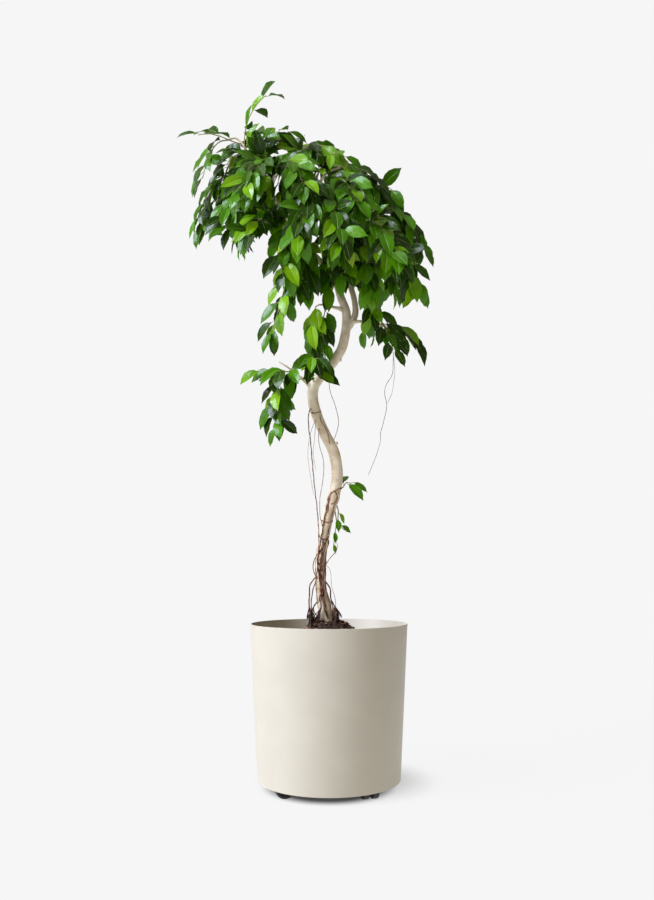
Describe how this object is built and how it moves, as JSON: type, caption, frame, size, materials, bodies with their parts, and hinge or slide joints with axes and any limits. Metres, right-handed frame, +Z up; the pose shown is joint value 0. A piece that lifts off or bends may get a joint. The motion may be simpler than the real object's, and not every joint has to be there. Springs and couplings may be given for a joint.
{
  "type": "potted weeping fig",
  "caption": "Weeping fig tree with a bent pale trunk and hanging leafy twigs, in a tapered round planter that rolls on castors hidden under its skirt.",
  "frame": {"origin": "on the floor, under the middle of the whole plant's outline; the planter's axis stands 54 mm towards +X and 12 mm towards -Y", "axes": "+Z up; -Y towards the viewer of the front, +X to the viewer's right"},
  "size_m": [0.6551, 0.5135, 1.781],
  "materials": {
    "cream_powder_coat": "satin powder coat on sheet steel",
    "bark_soil": "loose bark compost",
    "pale_bark": "smooth pale bark",
    "leaf_green": "glossy fresh leaf",
    "black_tread": "matte tread",
    "black_nylon": "moulded",
    "zinc_steel": "zinc plated"
  },
  "bodies": {
    "root": {"back_centre": "leaf_green", "back_inner": "leaf_green", "back_left": "leaf_green", "back_right": "leaf_green", "castor_plate_back_left": "zinc_steel", "castor_plate_back_right": "zinc_steel", "castor_plate_front_left": "zinc_steel", "castor_plate_front_right": "zinc_steel", "centre_front_left": "leaf_green", "centre_front_right": "leaf_green", "crown_tip": "leaf_green", "far_left_top": "leaf_green", "front_right_inner": "leaf_green", "front_right_outer": "leaf_green", "left_arch": "leaf_green", "left_fall_back": "leaf_green", "left_fall_inner": "leaf_green", "left_fall_outer": "leaf_green", "left_front_inner": "leaf_green", "left_front_mid": "leaf_green", "left_front_outer": "leaf_green", "left_upper_fall": "leaf_green", "long_left_fall": "leaf_green", "low_left_fall": "leaf_green", "low_left_front": "leaf_green", "low_left_high": "leaf_green", "low_right_inner": "leaf_green", "low_right_outer": "leaf_green", "mid_left": "leaf_green", "planter": "cream_powder_coat", "right_fall_back": "leaf_green", "right_fall_front": "leaf_green", "right_fall_outer": "leaf_green", "right_front_high": "leaf_green", "right_inner_fall": "leaf_green", "right_low_outer": "leaf_green", "right_shoulder": "leaf_green", "soil": "bark_soil", "top_arch": "leaf_green", "top_front_left": "leaf_green", "top_front_mid": "leaf_green", "top_mid": "leaf_green", "top_right": "leaf_green", "top_right_arch": "leaf_green", "trunk": "pale_bark", "trunk_sprig": "leaf_green", "trunk_sprig_low": "leaf_green", "under_centre": "leaf_green"},
    "castor_front_right": {"castor_housing_front_right": "black_nylon"},
    "wheel_front_right_left": {"castor_wheel_front_right_left": "black_tread"},
    "wheel_front_right_right": {"castor_wheel_front_right_right": "black_tread"},
    "castor_front_left": {"castor_housing_front_left": "black_nylon"},
    "wheel_front_left_left": {"castor_wheel_front_left_left": "black_tread"},
    "wheel_front_left_right": {"castor_wheel_front_left_right": "black_tread"},
    "castor_back_left": {"castor_housing_back_left": "black_nylon"},
    "wheel_back_left_left": {"castor_wheel_back_left_left": "black_tread"},
    "wheel_back_left_right": {"castor_wheel_back_left_right": "black_tread"},
    "castor_back_right": {"castor_housing_back_right": "black_nylon"},
    "wheel_back_right_left": {"castor_wheel_back_right_left": "black_tread"},
    "wheel_back_right_right": {"castor_wheel_back_right_right": "black_tread"}
  },
  "joints": [
    {"name": "castor_swivel_front_right", "type": "hinge", "parent": "root", "child": "castor_front_right", "pos_m": [0.14663, -0.10463, 0.059], "axis": [0, 0, 1], "continuous": true},
    {"name": "wheel_spin_front_right_left", "type": "hinge", "parent": "castor_front_right", "child": "wheel_front_right_left", "pos_m": [0.16293, -0.1189, 0.025], "axis": [0.9659, 0.2588, 0], "continuous": true},
    {"name": "wheel_spin_front_right_right", "type": "hinge", "parent": "castor_front_right", "child": "wheel_front_right_right", "pos_m": [0.13965, -0.12514, 0.025], "axis": [0.9659, 0.2588, 0], "continuous": true},
    {"name": "castor_swivel_front_left", "type": "hinge", "parent": "root", "child": "castor_front_left", "pos_m": [-0.03863, -0.10463, 0.059], "axis": [0, 0, 1], "continuous": true},
    {"name": "wheel_spin_front_left_left", "type": "hinge", "parent": "castor_front_left", "child": "wheel_front_left_left", "pos_m": [-0.0529, -0.12093, 0.025], "axis": [0.2588, -0.9659, 0], "continuous": true},
    {"name": "wheel_spin_front_left_right", "type": "hinge", "parent": "castor_front_left", "child": "wheel_front_left_right", "pos_m": [-0.05914, -0.09765, 0.025], "axis": [0.2588, -0.9659, 0], "continuous": true},
    {"name": "castor_swivel_back_left", "type": "hinge", "parent": "root", "child": "castor_back_left", "pos_m": [-0.03863, 0.08063, 0.059], "axis": [0, 0, 1], "continuous": true},
    {"name": "wheel_spin_back_left_left", "type": "hinge", "parent": "castor_back_left", "child": "wheel_back_left_left", "pos_m": [-0.05807, 0.09019, 0.025], "axis": [-0.866, -0.5, 0], "continuous": true},
    {"name": "wheel_spin_back_left_right", "type": "hinge", "parent": "castor_back_left", "child": "wheel_back_left_right", "pos_m": [-0.03719, 0.10224, 0.025], "axis": [-0.866, -0.5, 0], "continuous": true},
    {"name": "castor_swivel_back_right", "type": "hinge", "parent": "root", "child": "castor_back_right", "pos_m": [0.14663, 0.08063, 0.059], "axis": [0, 0, 1], "continuous": true},
    {"name": "wheel_spin_back_right_left", "type": "hinge", "parent": "castor_back_right", "child": "wheel_back_right_left", "pos_m": [0.15942, 0.09811, 0.025], "axis": [-0.342, 0.9397, 0], "continuous": true},
    {"name": "wheel_spin_back_right_right", "type": "hinge", "parent": "castor_back_right", "child": "wheel_back_right_right", "pos_m": [0.16767, 0.07546, 0.025], "axis": [-0.342, 0.9397, 0], "continuous": true}
  ]
}
